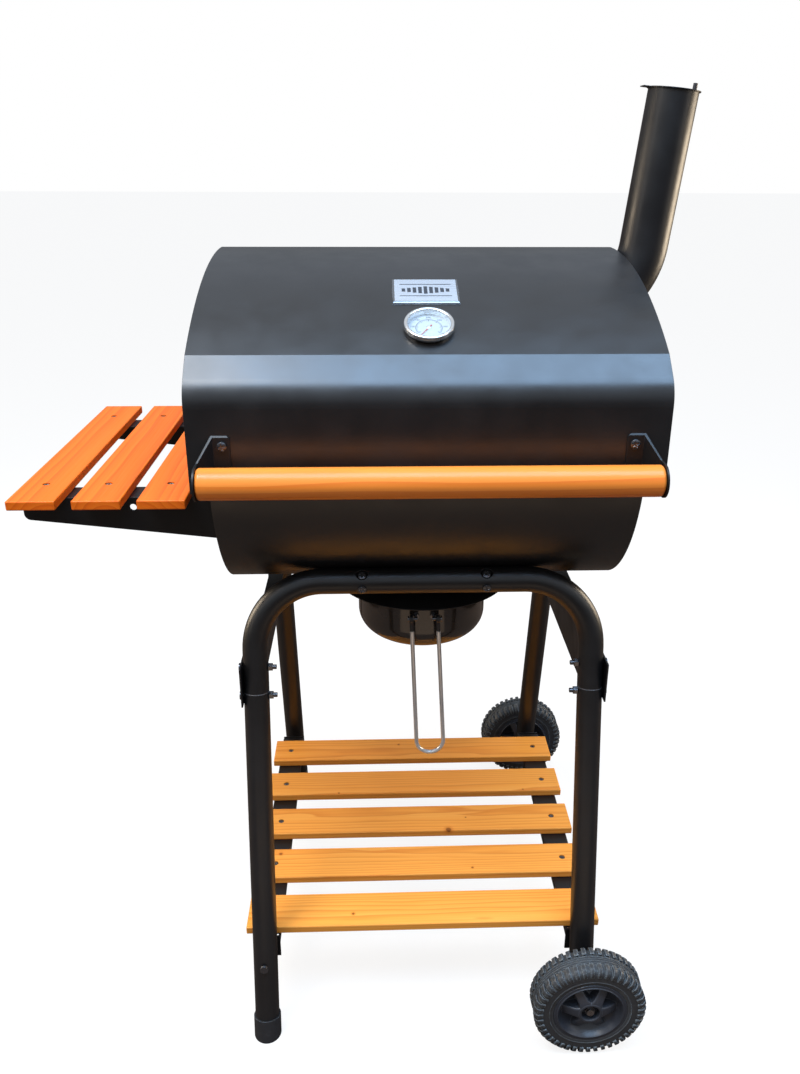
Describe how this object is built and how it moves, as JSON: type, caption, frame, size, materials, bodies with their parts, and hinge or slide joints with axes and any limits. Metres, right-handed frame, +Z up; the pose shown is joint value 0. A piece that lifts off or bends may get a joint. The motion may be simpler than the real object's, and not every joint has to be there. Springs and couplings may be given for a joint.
{
  "type": "charcoal barrel grill and smoker",
  "caption": "Barrel charcoal grill and smoker on a wheeled tube stand, with a hinged hood, side chimney, wooden side and lower shelves and a drop-out ash bowl.",
  "frame": {"origin": "middle of the outline's base, on the floor", "axes": "+Z up, +X along the barrel towards the chimney, -Y towards the handle and the front"},
  "size_m": [0.8192, 0.645, 1.1844],
  "materials": {
    "black_paint": "satin black heat-resistant paint",
    "pine": "oiled honey pine",
    "stained_wood": "orange stained and lacquered wood",
    "tyre": "matte moulded tread",
    "wheel_plastic": "matte moulded plastic",
    "cap_plastic": "matte moulded plastic",
    "bowl_enamel": "glossy dark enamel",
    "black_fasteners": "blackened steel",
    "plated_steel": "bright zinc plating",
    "grate_chrome": "chrome-plated wire",
    "grate_steel": "matte black rods",
    "gauge_steel": "polished stainless steel",
    "dial_face": "printed silver dial",
    "pointer_red": "dark red paint",
    "lens": "clear glass",
    "badge_aluminium": "brushed plate with a dark border"
  },
  "bodies": {
    "frame": {"front_arch_tube": "black_paint", "rear_arch_tube": "black_paint", "front_left_leg": "black_paint", "front_right_leg": "black_paint", "rear_left_leg": "black_paint", "rear_right_leg": "black_paint", "foot_caps": "cap_plastic", "side_brace_left": "black_paint", "side_brace_right": "black_paint", "frame_bolts": "black_fasteners", "shelf_rail_left": "black_paint", "shelf_rail_right": "black_paint", "bottom_slat_1": "pine", "bottom_slat_2": "pine", "bottom_slat_3": "pine", "bottom_slat_4": "pine", "bottom_slat_5": "pine", "wood_screws": "black_fasteners", "axle": "plated_steel", "firebox_trough": "black_paint", "firebox_end_left": "black_paint", "firebox_end_right": "black_paint", "firebox_fasteners": "black_fasteners", "grate_ledges": "black_paint", "cooking_grate_left": "grate_chrome", "cooking_grate_right": "grate_chrome", "charcoal_grate": "grate_steel", "ash_collar": "black_paint", "hinge_leaves_body": "black_paint", "hinge_pins": "plated_steel", "side_shelf_bracket_front": "black_paint", "side_shelf_bracket_rear": "black_paint", "side_slat_1": "stained_wood", "side_slat_2": "stained_wood", "side_slat_3": "stained_wood"},
    "wheel_front": {"front_wheel_hub": "wheel_plastic", "front_wheel_tyre": "tyre"},
    "wheel_rear": {"rear_wheel_hub": "wheel_plastic", "rear_wheel_tyre": "tyre"},
    "ash_bowl": {"ash_bowl": "bowl_enamel", "bail_studs": "black_fasteners"},
    "bail": {"ash_bowl_bail": "plated_steel"},
    "lid": {"lid_shell": "black_paint", "lid_end_left": "black_paint", "lid_end_right": "black_paint", "handle_bracket_left": "black_paint", "handle_bracket_right": "black_paint", "handle_grip": "stained_wood", "lid_fasteners": "black_fasteners", "thermometer_case": "gauge_steel", "thermometer_dial": "dial_face", "thermometer_lens": "lens", "badge_plate": "badge_aluminium", "chimney_pipe": "black_paint", "chimney_flange": "black_paint", "chimney_cap_pin": "black_paint", "hinge_leaves_lid": "black_paint"},
    "pointer": {"thermometer_pointer": "pointer_red"},
    "chimney_cap": {"chimney_cap": "black_paint"},
    "damper": {"air_damper": "black_paint"}
  },
  "joints": [
    {"name": "lid_hinge", "type": "hinge", "parent": "frame", "child": "lid", "pos_m": [0.05935, 0.24, 0.8], "axis": [-1, 0, 0], "range_deg": [0, 100]},
    {"name": "front_wheel_spin", "type": "hinge", "parent": "frame", "child": "wheel_front", "pos_m": [0.27136, -0.301, 0.0735], "axis": [0, 1, 0], "continuous": true},
    {"name": "rear_wheel_spin", "type": "hinge", "parent": "frame", "child": "wheel_rear", "pos_m": [0.27136, 0.301, 0.0735], "axis": [0, 1, 0], "continuous": true},
    {"name": "ash_bowl_drop", "type": "slide", "parent": "frame", "child": "ash_bowl", "axis": [0, 0, -1], "range_m": [0, 0.1]},
    {"name": "bail_swing", "type": "hinge", "parent": "ash_bowl", "child": "bail", "pos_m": [0.06335, -0.097, 0.533], "axis": [-1, 0, 0], "range_deg": [-7, 120]},
    {"name": "pointer_turn", "type": "hinge", "parent": "lid", "child": "pointer", "pos_m": [0.06085, -0.156, 0.92224], "axis": [0, -0.4626, 0.8865], "range_deg": [-270, 0], "stiffness_Nm_per_rad": 0.0005},
    {"name": "chimney_cap_swivel", "type": "hinge", "parent": "lid", "child": "chimney_cap", "pos_m": [0.40203, 0.08, 1.17295], "axis": [0.1028, 0, 0.9947], "range_deg": [0, 95]},
    {"name": "air_damper_turn", "type": "hinge", "parent": "frame", "child": "damper", "pos_m": [0.30295, 0, 0.69], "axis": [1, 0, 0], "range_deg": [0, 45]}
  ]
}
